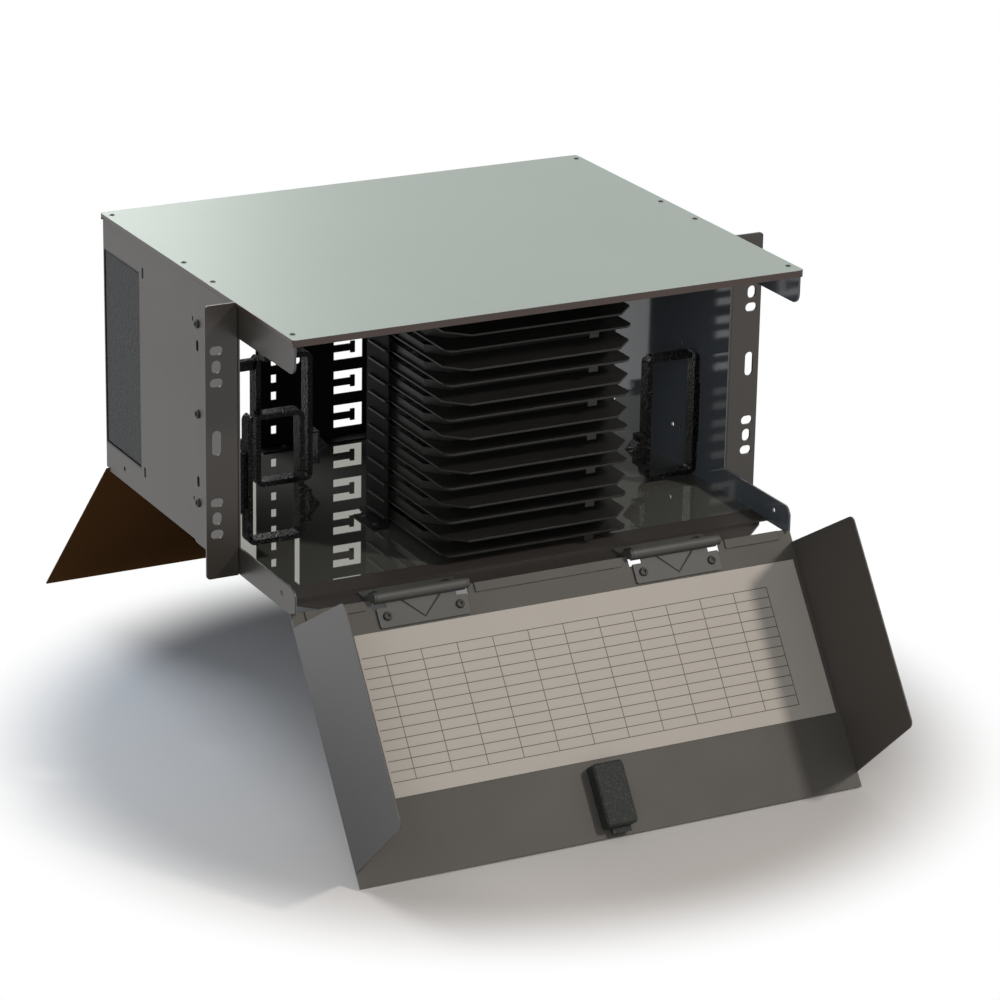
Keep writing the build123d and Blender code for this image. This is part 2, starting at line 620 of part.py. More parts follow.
# Tray holder: two comb plates with a slot for each tray wing, and a web behind the trays
def holder_side(side, node):
    inner = TRAY_CENTRE_X + side * HOLDER_INNER
    start = inner if side > 0 else inner - SHEET
    foot_mid = inner + side * (SHEET + HOLDER_FOOT) / 2
    slot_height = TRAY_PLATE + 2 * HOLDER_SLOT_GAP
    slot_length = WING_BACK + HOLDER_TRAY_GAP - HOLDER_FRONT
    with BuildPart() as plate:
        with BuildSketch(Plane.YZ.offset(start)) as comb:
            with Locations((HOLDER_FRONT, FLOOR_TOP)):
                Rectangle(HOLDER_BACK - HOLDER_FRONT, HOLDER_TOP - FLOOR_TOP, align=(Align.MIN, Align.MIN))
            with Locations(*[(HOLDER_FRONT, level + TRAY_PLATE / 2) for level in TRAY_LEVELS]):
                Rectangle(slot_length, slot_height, align=(Align.MIN, Align.CENTER), mode=Mode.SUBTRACT)
            fronts = comb.vertices().group_by(Axis.X)[0]
            chamfer(fronts, HOLDER_TOOTH_LEAD)
        extrude(amount=SHEET)
        with BuildSketch(Plane.XY.offset(FLOOR_TOP)):
            with Locations((foot_mid, HOLDER_FRONT)):
                Rectangle(SHEET + HOLDER_FOOT, HOLDER_BACK - HOLDER_FRONT, align=(Align.CENTER, Align.MIN))
            with Locations(*floor_rivet_spots()):
                Circle(RIVET_HOLE_R, mode=Mode.SUBTRACT)
        extrude(amount=SHEET)
    save(plate, node)


holder_side(-1, "tray_holder_left")
holder_side(1, "tray_holder_right")

with BuildPart() as tray_holder_back:
    with BuildSketch(Plane.XZ.offset(-HOLDER_BACK)):
        with Locations((TRAY_CENTRE_X, FLOOR_TOP)):
            Rectangle(2 * (HOLDER_INNER + SHEET), HOLDER_TOP - FLOOR_TOP, align=(Align.CENTER, Align.MIN))
        with Locations((TRAY_CENTRE_X, (FLOOR_TOP + HOLDER_TOP) / 2)):
            with GridLocations(HOLDER_WINDOW_PITCH, 0, 2, 1):
                RectangleRounded(
                    HOLDER_WINDOW_WIDTH,
                    HOLDER_WINDOW_HEIGHT,
                    HOLDER_WINDOW_R,
                    mode=Mode.SUBTRACT,
                )
    extrude(amount=-SHEET)
    with BuildSketch(Plane.XY.offset(FLOOR_TOP)):
        with Locations((TRAY_CENTRE_X, HOLDER_BACK)):
            Rectangle(2 * (HOLDER_INNER + SHEET), SHEET + HOLDER_FOOT, align=(Align.CENTER, Align.MIN))
        with Locations(*floor_rivet_spots()):
            Circle(RIVET_HOLE_R, mode=Mode.SUBTRACT)
    extrude(amount=SHEET)
save(tray_holder_back, "tray_holder_back")

# Rivets through the feet of the holder and the tie panel into the floor
fasteners(
    "frame_rivets",
    [Plane(origin=(x, y, FLOOR_TOP + SHEET), z_dir=(0, 0, 1)) for x, y in floor_rivet_spots()],
    RIVET_HEAD_R,
    RIVET_HEAD_HEIGHT,
    RIVET_SHANK_R,
    2 * SHEET,
)


# Cable entries: a moulded frame in each wall opening, filled by a foam pad
def entry_frame(side, node):
    start = CASE_HALF_WIDTH if side > 0 else -CASE_HALF_WIDTH
    mid = ((ENTRY_FRONT + WALL_BACK) / 2, (ENTRY_LOW + ENTRY_HIGH) / 2)
    length = WALL_BACK - ENTRY_FRONT
    height = ENTRY_HIGH - ENTRY_LOW
    with BuildPart() as frame:
        with BuildSketch(Plane.YZ.offset(start)):
            with Locations(mid):
                Rectangle(length, height)
                Rectangle(length - 2 * ENTRY_BORDER, height - 2 * ENTRY_BORDER, mode=Mode.SUBTRACT)
        extrude(amount=-side * ENTRY_DEPTH)
        with BuildSketch(Plane.YZ.offset(start - side * SHEET)):
            with Locations((WALL_BACK, mid[1])):
                Rectangle(length, height + 2 * ENTRY_LIP, align=(Align.MAX, Align.CENTER))
            with Locations(mid):
                Rectangle(length - 2 * ENTRY_BORDER, height - 2 * ENTRY_BORDER, mode=Mode.SUBTRACT)
        extrude(amount=-side * SHEET)
    save(frame, node)


def entry_foam(side, node):
    start = side * (CASE_HALF_WIDTH - FOAM_RECESS)
    mid = ((ENTRY_FRONT + WALL_BACK) / 2, (ENTRY_LOW + ENTRY_HIGH) / 2)
    with BuildPart() as foam:
        with BuildSketch(Plane.YZ.offset(start)):
            with Locations(mid):
                Rectangle(
                    WALL_BACK - ENTRY_FRONT - 2 * ENTRY_BORDER,
                    ENTRY_HIGH - ENTRY_LOW - 2 * ENTRY_BORDER,
                )
        extrude(amount=-side * (ENTRY_DEPTH - FOAM_RECESS))
    save(foam, node)


entry_frame(-1, "left_entry_frame")
entry_frame(1, "right_entry_frame")
entry_foam(-1, "left_entry_foam")
entry_foam(1, "right_entry_foam")


# Cable rings: strip loops with a mouth beside the wall, a tie bridge and a lip on the free side
def cable_ring(side, y, low, stand_off, stem, node):
    wall_x = side * INNER_HALF_WIDTH
    near = wall_x - side * stand_off
    far = near - side * RING_WIDTH
    middle = (near + far) / 2
    bridge_mid = low + RING_BRIDGE_LOW + RING_BRIDGE_HEIGHT / 2
    bridge_edge = far - side * RING_BRIDGE_REACH
    stem_low, stem_high = stem
    stem_mid = low + (stem_low + stem_high) / 2
    stem_height = stem_high - stem_low
    stem_length = stand_off + RING_STRIP / 2
    with BuildPart() as ring:
        with BuildSketch(Plane.XZ.offset(-y)):
            with Locations((middle, low + RING_HEIGHT / 2)):
                RectangleRounded(RING_WIDTH, RING_HEIGHT, RING_CORNER_R)
                RectangleRounded(
                    RING_WIDTH - 2 * RING_STRIP,
                    RING_HEIGHT - 2 * RING_STRIP,
                    RING_CORNER_R - RING_STRIP,
                    mode=Mode.SUBTRACT,
                )
            with Locations((near - side * (RING_STRIP + RING_MOUTH / 2), low + RING_HEIGHT)):
                Rectangle(RING_MOUTH, 2 * RING_CORNER_R, mode=Mode.SUBTRACT)
            with Locations(((far + bridge_edge) / 2, bridge_mid)):
                Rectangle(RING_BRIDGE_REACH, RING_BRIDGE_HEIGHT)
            with Locations(((far + bridge_edge + side * RING_BRIDGE_STRIP) / 2, bridge_mid)):
                Rectangle(
                    RING_BRIDGE_REACH - RING_BRIDGE_STRIP,
                    RING_BRIDGE_HEIGHT - 2 * RING_BRIDGE_STRIP,
                    mode=Mode.SUBTRACT,
                )
            with BuildLine():
                Polyline(
                    (bridge_edge, bridge_mid + RING_LIP_HEIGHT / 2),
                    (bridge_edge - side * RING_LIP_REACH, bridge_mid),
                    (bridge_edge, bridge_mid - RING_LIP_HEIGHT / 2),
                    close=True,
                )
            make_face()
        extrude(amount=RING_DEPTH / 2, both=True)
        with BuildSketch(Plane.XZ.offset(-y)):
            with Locations((wall_x - side * stem_length / 2, stem_mid)):
                Rectangle(stem_length, stem_height)
        extrude(amount=RING_STEM_SHEET / 2, both=True)
        with BuildSketch(Plane.YZ.offset(wall_x)):
            with Locations((y, stem_mid)):
                Rectangle(RING_DEPTH, stem_height + 2 * RING_PLATE_MARGIN)
        extrude(amount=-side * RING_PLATE_SHEET)
    save(ring, node)


cable_ring(1, RIGHT_RING_Y, RIGHT_RING_LOW, RIGHT_RING_STAND_OFF, RIGHT_RING_STEM, "cable_ring_right")
cable_ring(
    -1,
    LEFT_FRONT_RING_Y,
    LEFT_FRONT_RING_LOW,
    LEFT_FRONT_RING_STAND_OFF,
    LEFT_FRONT_RING_STEM,
    "cable_ring_left_front",
)
cable_ring(
    -1,
    LEFT_REAR_RING_Y,
    LEFT_REAR_RING_LOW,
    LEFT_REAR_RING_STAND_OFF,
    LEFT_REAR_RING_STEM,
    "cable_ring_left_rear",
)


# Hinge brackets: a plate on the chassis with two lugs that hold the pin
def hinge_bracket(centre, front, node):
    axis_y = FRONT_AXIS_Y if front else REAR_AXIS_Y
    plate_bottom = SHELF_TOP if front else CASE_BOTTOM - SHEET
    plate_edge = SHELF_FRONT if front else FLOOR_BACK
    outward = -1 if front else 1
    screw_y = FRONT_BRACKET_SCREW_Y if front else REAR_BRACKET_SCREW_Y
    foot_y = plate_edge - LUG_FOOT_REACH if front else plate_edge + REAR_LUG_REACH
    back_y = plate_edge + LUG_FOOT_BACK if front else plate_edge + FIT_GAP
    slope_rise = BARREL_R * math.cos(math.asin(LUG_SLOPE / BARREL_R))
    with BuildPart() as bracket:
        with BuildSketch(Plane.XY.offset(plate_bottom)):
            with Locations((centre, (foot_y + screw_y) / 2 - outward * BRACKET_DEPTH / 4)):
                Rectangle(2 * LUG_OUTER, abs(foot_y - screw_y) + BRACKET_DEPTH / 2)
            with Locations(*bracket_screw_spots(screw_y)):
                Circle(SCREW_HOLE_R, mode=Mode.SUBTRACT)
        extrude(amount=SHEET)
        for start in (centre - LUG_OUTER, centre + LUG_INNER):
            with BuildSketch(Plane.YZ.offset(start)):
                with Locations((axis_y, AXIS_Z)):
                    Circle(BARREL_R)
                with BuildLine():
                    Polyline(
                        (axis_y - outward * LUG_SLOPE, AXIS_Z + slope_rise),
                        (axis_y, AXIS_Z - BARREL_R),
                        (foot_y, plate_bottom),
                        (back_y, plate_bottom),
                        (back_y, plate_bottom + SHEET),
                        close=True,
                    )
                make_face()
                with Locations((axis_y, AXIS_Z)):
                    Circle(BARREL_BORE_R, mode=Mode.SUBTRACT)
            extrude(amount=SHEET)
    save(bracket, node)


# Hinge leaf: screwed to the door, its edge rolled round the pin
def hinge_leaf(plane, centre, node):
    notch_offset = (LEAF_WIDTH - LEAF_NOTCH_LENGTH) / 2
    with BuildPart() as leaf:
        with BuildSketch(plane.offset(DOOR_INNER - SHEET)) as flat:
            with Locations((centre, 0)):
                Rectangle(LEAF_WIDTH, LEAF_HEIGHT, align=(Align.CENTER, Align.MIN))
            fillet(flat.vertices().group_by(Axis.Y)[-1], LEAF_CORNER_R)
            with Locations(*[(centre + way * LEAF_SCREW_OFFSET, LEAF_SCREW_Y) for way in (-1, 1)]):
                Circle(SCREW_HOLE_R, mode=Mode.SUBTRACT)
            with Locations(*[(centre + way * notch_offset, LEAF_NOTCH_LOW) for way in (-1, 1)]):
                Rectangle(
                    LEAF_NOTCH_LENGTH,
                    LEAF_NOTCH_HIGH - LEAF_NOTCH_LOW,
                    align=(Align.CENTER, Align.MIN),
                    mode=Mode.SUBTRACT,
                )
        extrude(amount=SHEET)
        with BuildSketch(plane.offset(DOOR_INNER - SHEET)):
            with BuildLine():
                Polyline(
                    (centre - TONGUE_HALF, TONGUE_ROOT),
                    (centre, TONGUE_TIP),
                    (centre + TONGUE_HALF, TONGUE_ROOT),
                    (centre + TONGUE_HALF - 2 * TONGUE_SLIT, TONGUE_ROOT),
                    (centre, TONGUE_TIP - TONGUE_SLIT),
                    (centre - TONGUE_HALF + 2 * TONGUE_SLIT, TONGUE_ROOT),
                    close=True,
                )
            make_face()
        extrude(amount=TONGUE_SINK, mode=Mode.SUBTRACT)
        with BuildSketch(across(plane, centre - LEAF_WIDTH / 2)):
            Circle(BARREL_R)
            Circle(BARREL_BORE_R, mode=Mode.SUBTRACT)
        extrude(amount=LEAF_WIDTH)
    save(leaf, node)


def hinge_pins(plane, node):
    with BuildPart() as pins:
        for centre in HINGE_CENTRES:
            with BuildSketch(across(plane, centre - LUG_OUTER)):
                Circle(BARREL_BORE_R - PIN_CLEARANCE)
            extrude(amount=2 * LUG_OUTER)
    save(pins, node)


def hinge_screws(plane, node):
    seats = []
    for centre in HINGE_CENTRES:
        for way in (-1, 1):
            spot = Vector(centre + way * LEAF_SCREW_OFFSET, LEAF_SCREW_Y, DOOR_INNER - SHEET)
            seats.append(
                Plane(origin=plane.from_local_coords(spot), x_dir=plane.x_dir, z_dir=-plane.z_dir)
            )
    screws(node, seats, SHEET + DOOR_SHEET)


# Door sheets: hemmed at the hinge edge, the front one also with tapered side flanges
def door_sheet(plane, height, flanged, node):
    notch = LUG_OUTER + DOOR_NOTCH_GAP
    slide_reach = THUMB_HEIGHT + LATCH_TRAVEL + 2 * FIT_GAP
    with BuildPart() as door:
        with BuildSketch(plane.offset(DOOR_INNER)) as sheet:
            with Locations((0, DOOR_EDGE)):
                Rectangle(2 * COVER_HALF_WIDTH, height - DOOR_EDGE, align=(Align.CENTER, Align.MIN))
            for centre in HINGE_CENTRES:
                with Locations((centre, 0)):
                    Rectangle(
                        2 * notch,
                        DOOR_NOTCH_DEPTH,
                        align=(Align.CENTER, Align.MIN),
                        mode=Mode.SUBTRACT,
                    )
                with Locations(*[(centre + way * LEAF_SCREW_OFFSET, LEAF_SCREW_Y) for way in (-1, 1)]):
                    Circle(SCREW_HOLE_R, mode=Mode.SUBTRACT)
            with Locations((LATCH_X, THUMB_LOW - LATCH_TRAVEL - FIT_GAP)):
                Rectangle(
                    TONGUE_WIDTH + 2 * FIT_GAP,
                    slide_reach,
                    align=(Align.CENTER, Align.MIN),
                    mode=Mode.SUBTRACT,
                )
        extrude(amount=DOOR_SHEET)
        hem_stop = notch + HEM_STOP_GAP
        with BuildSketch(plane.offset(DOOR_INNER - DOOR_SHEET)):
            with Locations((0, DOOR_EDGE)):
                Rectangle(2 * DOOR_HEM_HALF_WIDTH, DOOR_HEM, align=(Align.CENTER, Align.MIN))
            for centre in HINGE_CENTRES:
                with Locations((centre, DOOR_EDGE)):
                    Rectangle(2 * hem_stop, DOOR_HEM, align=(Align.CENTER, Align.MIN), mode=Mode.SUBTRACT)
        extrude(amount=DOOR_SHEET)
        if flanged:
            for start in (-COVER_HALF_WIDTH, COVER_HALF_WIDTH - DOOR_SHEET):
                flange_plane = across(plane, start)
                with BuildSketch(flange_plane) as flange:
                    with BuildLine():
                        Polyline(
                            (FLANGE_LOW, DOOR_INNER),
                            (FLANGE_LOW + FLANGE_LOW_RISE, DOOR_INNER - FLANGE_DEPTH),
                            (FLANGE_HIGH - FLANGE_HIGH_FALL, DOOR_INNER - FLANGE_DEPTH),
                            (FLANGE_HIGH, DOOR_INNER),
                            close=True,
                        )
                    make_face()
                    fillet(flange.vertices().group_by(Axis.Y)[0], FLANGE_CORNER_R)
                extrude(amount=DOOR_SHEET)
    save(door, node)


def latch_case(plane, node):
    """Moulded case on the inner face of a door, open towards the door and at its top."""
    cavity_low = LATCH_LOW + LATCH_WALL
    cavity_high = LATCH_HIGH - LATCH_WALL
    slot_depth = TONGUE_SHEET + 2 * FIT_GAP
    with BuildPart() as case:
        with BuildSketch(plane.offset(DOOR_INNER)):
            with Locations((LATCH_X, (LATCH_LOW + LATCH_HIGH) / 2)):
                RectangleRounded(LATCH_WIDTH, LATCH_HIGH - LATCH_LOW, LATCH_CORNER_R)
        extrude(amount=-LATCH_DEPTH)
        chamfer(case.faces().sort_by(Axis(plane.origin, plane.z_dir))[0].edges(), LATCH_EDGE)
        with BuildSketch(plane.offset(DOOR_INNER)):
            with Locations((LATCH_X, (cavity_low + cavity_high) / 2)):
                Rectangle(LATCH_WIDTH - 2 * LATCH_WALL, cavity_high - cavity_low)
        extrude(amount=-(LATCH_DEPTH - LATCH_WALL), mode=Mode.SUBTRACT)
        with BuildSketch(plane.offset(TONGUE_OUT + FIT_GAP)):
            with Locations((LATCH_X, cavity_high - FIT_GAP)):
                Rectangle(
                    TONGUE_WIDTH + 2 * FIT_GAP,
                    LATCH_WALL + 2 * FIT_GAP,
                    align=(Align.CENTER, Align.MIN),
                )
        extrude(amount=-slot_depth, mode=Mode.SUBTRACT)
    save(case, node)


def latch_slide(plane, tongue_top, node):
    """Sliding bolt: a body in the case, a bevelled tongue and a thumb tab through the door."""
    body_width = LATCH_WIDTH - 2 * (LATCH_WALL + FIT_GAP)
    body_back = DOOR_INNER - LATCH_DEPTH + LATCH_WALL + FIT_GAP
    body_front = DOOR_INNER - FIT_GAP
    with BuildPart() as slide:
        with BuildSketch(plane.offset(body_back)):
            with Locations((LATCH_X, SLIDE_LOW)):
                Rectangle(body_width, SLIDE_HIGH - SLIDE_LOW, align=(Align.CENTER, Align.MIN))
        extrude(amount=body_front - body_back)
        with BuildSketch(across(plane, LATCH_X - TONGUE_WIDTH / 2)):
            with BuildLine():
                Polyline(
                    (SLIDE_HIGH, TONGUE_OUT),
                    (tongue_top - TONGUE_SHEET, TONGUE_OUT),
                    (tongue_top, TONGUE_OUT - TONGUE_SHEET / 2),
                    (tongue_top, TONGUE_OUT - TONGUE_SHEET),
                    (SLIDE_HIGH, TONGUE_OUT - TONGUE_SHEET),
                    close=True,
                )
            make_face()
        extrude(amount=TONGUE_WIDTH)
        with BuildSketch(plane.offset(body_front)):
            with Locations((LATCH_X, THUMB_LOW)):
                Rectangle(TONGUE_WIDTH, THUMB_HEIGHT, align=(Align.CENTER, Align.MIN))
        extrude(amount=FIT_GAP + DOOR_SHEET + THUMB_REACH)
    save(slide, node)


def latch_spring(plane, node):
    """Bowed leaf spring at the foot of the case, drawn pressed flat enough to clear the bolt."""
    foot = LATCH_LOW + LATCH_WALL
    crown = SLIDE_LOW - LATCH_TRAVEL - FIT_GAP
    half = LATCH_WIDTH / 2 - LATCH_WALL - FIT_GAP
    middle = DOOR_INNER - LATCH_DEPTH / 2
    with BuildPart() as spring:
        with BuildSketch(plane.offset(middle - SPRING_WIDTH / 2)):
            with BuildLine():
                ThreePointArc((LATCH_X - half, foot), (LATCH_X, crown), (LATCH_X + half, foot))
                Line((LATCH_X + half, foot), (LATCH_X + half - SPRING_SHEET, foot))
                ThreePointArc(
                    (LATCH_X + half - SPRING_SHEET, foot),
                    (LATCH_X, crown - SPRING_SHEET),
                    (LATCH_X - half + SPRING_SHEET, foot),
                )
                Line((LATCH_X - half + SPRING_SHEET, foot), (LATCH_X - half, foot))
            make_face()
        extrude(amount=SPRING_WIDTH)
    save(spring, node)


def door_set(plane, front, height, flanged, place):
    """A whole door: sheet, hinges, brackets, screws and latch."""
    door_sheet(plane, height, flanged, f"{place}_door")
    for centre, name in zip(HINGE_CENTRES, ("left", "right")):
        hinge_bracket(centre, front, f"{place}_hinge_bracket_{name}")
        local_centre = centre if front else -centre
        hinge_leaf(plane, local_centre, f"{place}_hinge_leaf_{name}")
    hinge_pins(plane, f"{place}_hinge_pins")
    hinge_screws(plane, f"{place}_hinge_screws")
    latch_case(plane, f"{place}_latch_case")
    latch_slide(plane, CASE_TOP - TONGUE_TOP_GAP - AXIS_Z, f"{place}_latch_slide")
    latch_spring(plane, f"{place}_latch_spring")


door_set(FRONT_DOOR_PLANE, True, FRONT_DOOR_HEIGHT, True, "front")
door_set(REAR_DOOR_PLANE, False, REAR_DOOR_HEIGHT, False, "rear")

# Bracket screws: down into the front shelf, up into the floor at the back
screws(
    "front_bracket_screws",
    [
        Plane(origin=(x, y, SHELF_TOP + SHEET), z_dir=(0, 0, 1))
        for x, y in bracket_screw_spots(FRONT_BRACKET_SCREW_Y)
    ],
    2 * SHEET,
)
screws(
    "rear_bracket_screws",
    [
        Plane(origin=(x, y, CASE_BOTTOM - SHEET), z_dir=(0, 0, -1))
        for x, y in bracket_screw_spots(REAR_BRACKET_SCREW_Y)
    ],
    2 * SHEET,
)

# Label: a ruled card on the inner face of the front door
with BuildPart() as front_door_label:
    with BuildSketch(FRONT_DOOR_PLANE.offset(DOOR_INNER)):
        with Locations((LABEL_LEFT, LABEL_LOW)):
            Rectangle(LABEL_RIGHT - LABEL_LEFT, LABEL_HIGH - LABEL_LOW, align=(Align.MIN, Align.MIN))
    extrude(amount=-LABEL_SHEET)
save(front_door_label, "front_door_label")


# Splice trays: moulded plates with wings in the holder, a fibre channel and a splice comb
def splice_tray(index, bottom):
    long_plate = index % 2 == 1
    front = TRAY_LONG_FRONT if long_plate else TRAY_FRONT
    corner = TRAY_CORNER_START - front
    top = bottom + TRAY_PLATE
    wall_height = TRAY_HEIGHT - TRAY_PLATE
    rim_mid = (TRAY_CENTRE_X, (TRAY_RIM_FRONT + TRAY_BACK - TRAY_RIM_INSET) / 2)
    rim_width = 2 * (TRAY_HALF_WIDTH - TRAY_RIM_INSET)
    rim_length = TRAY_BACK - TRAY_RIM_INSET - TRAY_RIM_FRONT
    with BuildPart() as tray:
        with BuildSketch(Plane.XY.offset(bottom)) as plate:
            with Locations((TRAY_CENTRE_X, front)):
                Rectangle(2 * TRAY_HALF_WIDTH, TRAY_BACK - front, align=(Align.CENTER, Align.MIN))
            fronts = plate.vertices().group_by(Axis.Y)[0]
            if long_plate:
                chamfer(fronts, corner)
            else:
                fillet(fronts, corner)
            with Locations((TRAY_CENTRE_X, WING_FRONT)):
                Rectangle(
                    2 * (TRAY_HALF_WIDTH + WING_REACH),
                    WING_BACK - WING_FRONT,
                    align=(Align.CENTER, Align.MIN),
                )
        extrude(amount=TRAY_PLATE)
        with BuildSketch(Plane.XY.offset(top)):
            with Locations(rim_mid):
                rim = Rectangle(rim_width, rim_length)
            chamfer(rim.vertices(), TRAY_RIM_CHAMFER)
            offset(amount=-TRAY_WALL, kind=Kind.INTERSECTION, mode=Mode.SUBTRACT)
        extrude(amount=wall_height)
        with BuildSketch(Plane.XY.offset(top)):
            with Locations(*[(TRAY_CENTRE_X + way * HUB_OFFSET, HUB_Y) for way in (-1, 1)]):
                RegularPolygon(HUB_R, HUB_SIDES)
                RegularPolygon(HUB_R - TRAY_WALL, HUB_SIDES, mode=Mode.SUBTRACT)
            with Locations((TRAY_CENTRE_X, HUB_Y)):
                Rectangle(2 * HUB_OFFSET, 2 * HUB_R, mode=Mode.SUBTRACT)
        extrude(amount=wall_height)
        with BuildSketch(Plane.XY.offset(top)):
            with Locations((TRAY_CENTRE_X, HUB_Y)):
                with GridLocations(COMB_PITCH, 0, COMB_RIBS, 1):
                    Rectangle(TRAY_WALL, COMB_LENGTH)
        extrude(amount=COMB_HEIGHT)
        with BuildSketch(Plane.XY.offset(top + wall_height)):
            tab_offset = (rim_width - TAB_WIDTH) / 2
            with Locations(*[(TRAY_CENTRE_X + way * tab_offset, HUB_Y) for way in (-1, 1)]):
                Rectangle(TAB_WIDTH, TAB_WIDTH)
        extrude(amount=-TRAY_WALL)
        if not long_plate:
            with BuildSketch(Plane.XY.offset(bottom)):
                with Locations((TAB_X, front)):
                    Rectangle(TAB_WIDTH, TRAY_WALL, align=(Align.CENTER, Align.MIN))
            extrude(amount=-TAB_DROP)
    save(tray, f"splice_tray_{index + 1:02d}")


for tray_index, tray_bottom in enumerate(TRAY_LEVELS):
    splice_tray(tray_index, tray_bottom)
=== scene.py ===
import bpy
import bmesh
import math
from mathutils import Matrix, Vector, noise


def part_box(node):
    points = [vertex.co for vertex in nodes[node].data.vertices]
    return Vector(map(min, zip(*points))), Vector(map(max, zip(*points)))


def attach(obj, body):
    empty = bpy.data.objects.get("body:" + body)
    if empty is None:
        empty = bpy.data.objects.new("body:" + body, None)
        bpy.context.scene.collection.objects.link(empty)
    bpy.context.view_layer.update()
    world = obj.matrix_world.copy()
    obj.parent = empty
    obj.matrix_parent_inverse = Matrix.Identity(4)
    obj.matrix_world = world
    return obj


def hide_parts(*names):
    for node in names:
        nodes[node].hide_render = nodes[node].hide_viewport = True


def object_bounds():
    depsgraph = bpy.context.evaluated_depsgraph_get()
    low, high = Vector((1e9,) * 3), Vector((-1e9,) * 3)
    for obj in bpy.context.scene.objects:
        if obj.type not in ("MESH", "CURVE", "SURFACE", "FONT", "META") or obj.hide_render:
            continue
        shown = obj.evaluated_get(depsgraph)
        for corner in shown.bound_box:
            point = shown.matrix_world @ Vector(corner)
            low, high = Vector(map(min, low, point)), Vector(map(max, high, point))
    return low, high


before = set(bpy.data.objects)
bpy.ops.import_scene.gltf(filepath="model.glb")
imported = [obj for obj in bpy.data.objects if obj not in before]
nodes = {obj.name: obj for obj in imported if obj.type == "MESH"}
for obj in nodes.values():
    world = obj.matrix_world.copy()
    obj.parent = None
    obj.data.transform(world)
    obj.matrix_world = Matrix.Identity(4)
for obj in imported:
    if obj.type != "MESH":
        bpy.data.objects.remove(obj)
cad_low, cad_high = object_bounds()

# Side walls and rack ears: steel sheet, cut and bent, in a dark satin powder coat. The ears are
# screwed to the walls. The coat has a fine orange-peel skin, faint clouding and eased edges.
# Inside the walls it is far glossier, and its colour there is painted lighter and bluer, a
# painted reflection of the room.


class Shade:
    """One output of a material's node tree. Its operators add Math nodes."""

    def __init__(self, tree, socket=None):
        self.tree = tree
        self.socket = socket

    def node(self, kind, settings=None, output=0, **inputs):
        """Add a node: its settings come first, and then the values or links of its inputs.

        An input goes by its name, or by its number as s0, s1 and so on. The output goes by either.
        """
        made = self.tree.nodes.new(kind)
        for name, value in (settings or {}).items():
            setattr(made, name, value)
        for name, value in inputs.items():
            key = int(name[1:]) if name[1:].isdigit() else name.replace("_", " ")
            if isinstance(value, Shade):
                self.tree.links.new(value.socket, made.inputs[key])
            else:
                made.inputs[key].default_value = value
        return Shade(self.tree, made.outputs[output])

    def maths(self, operation, a, b=0.0):
        return self.node("ShaderNodeMath", {"operation": operation}, s0=a, s1=b)

    def __abs__(self):
        return self.maths("ABSOLUTE", self)

    def __add__(self, other):
        return self.maths("ADD", self, other)

    __radd__ = __add__

    def __sub__(self, other):
        return self.maths("SUBTRACT", self, other)

    def __rsub__(self, other):
        return self.maths("SUBTRACT", other, self)

    def __mul__(self, other):
        return self.maths("MULTIPLY", self, other)

    __rmul__ = __mul__

    def __gt__(self, other):
        return self.maths("GREATER_THAN", self, other)

    def __lt__(self, other):
        return self.maths("LESS_THAN", self, other)

    def __mod__(self, other):
        return self.maths("FLOORED_MODULO", self, other)


def new_material(name):
    """A new material: itself, its shader and the object coordinates of its surface."""
    material = bpy.data.materials.new(name)
    material.use_nodes = True
    tree = material.node_tree
    place = Shade(tree).node("ShaderNodeTexCoord", output="Object")
    return material, tree.nodes["Principled BSDF"], place


def feed(shader, **inputs):
    """Link or set the shader's inputs by name."""
    for name, value in inputs.items():
        socket = shader.inputs[name.replace("_", " ")]
        if isinstance(value, Shade):
            value.tree.links.new(value.socket, socket)
        else:
            socket.default_value = value


def larger(a, b):
    return a.maths("MAXIMUM", a, b)


def smaller(a, b):
    return a.maths("MINIMUM", a, b)


def tinted(factor, low, high):
    """A colour that goes from low to high with a factor. Either end may be a colour socket."""
    start, end = (tone if isinstance(tone, Shade) else (*tone, 1.0) for tone in (low, high))
    return factor.node(
        "ShaderNodeMix", {"data_type": "RGBA"}, output=2, s0=factor, s6=start, s7=end
    )


def along(place, axis):
    """One of the coordinates of a place: X, Y or Z."""
    return place.node("ShaderNodeSeparateXYZ", output=axis, Vector=place)


def mottle(place, scale, detail, **inputs):
    """Noise over a surface, finer with a higher scale."""
    return place.node("ShaderNodeTexNoise", Vector=place, Scale=scale, Detail=detail, **inputs)


def relief(height, strength, depth, ease=None):
    """The normal of a fine relief, on edges that are eased where a radius is given."""
    eased = {}
    if ease is not None:
        eased["Normal"] = height.node("ShaderNodeBevel", {"samples": 4}, Radius=ease)
    return height.node("ShaderNodeBump", Strength=strength, Distance=depth, Height=height, **eased)


def powder_coat(
    name, tones, dullness, peel=0.30, ease=0.0004, metal=0.0,
    zone=None, zone_tones=None, zone_dullness=0.0, **fixed,
):
    """Powder coat between two tones, with orange peel, clouded gloss and eased edges.

    A zone is a mask drawn from the place. It has tones and a gloss of its own and no metal flake.
    """
    material, shader, place = new_material(name)
    cloud_share = 0.8
    least, spread = 0.83, 0.35
    peel_depth = 0.00006
    clouds = mottle(place, scale=9.0, detail=4.0, Roughness=0.6)
    specks = mottle(place, scale=900.0, detail=2.0)
    skin = mottle(place, scale=420.0, detail=2.0)
    tone = clouds * cloud_share + specks * (1 - cloud_share)
    colour = tinted(tone, *tones)
    roughness = (clouds * spread + least) * dullness
    if zone is not None:
        mask = zone(place)
        colour = tinted(mask, colour, tinted(tone, *zone_tones))
        roughness = roughness * (1 - mask) + mask * zone_dullness
        if metal:
            metal = (1 - mask) * metal
    feed(
        shader,
        Base_Color=colour,
        Metallic=metal,
        Roughness=roughness,
        Normal=relief(skin, peel, peel_depth, ease),
        **fixed,
    )
    return material


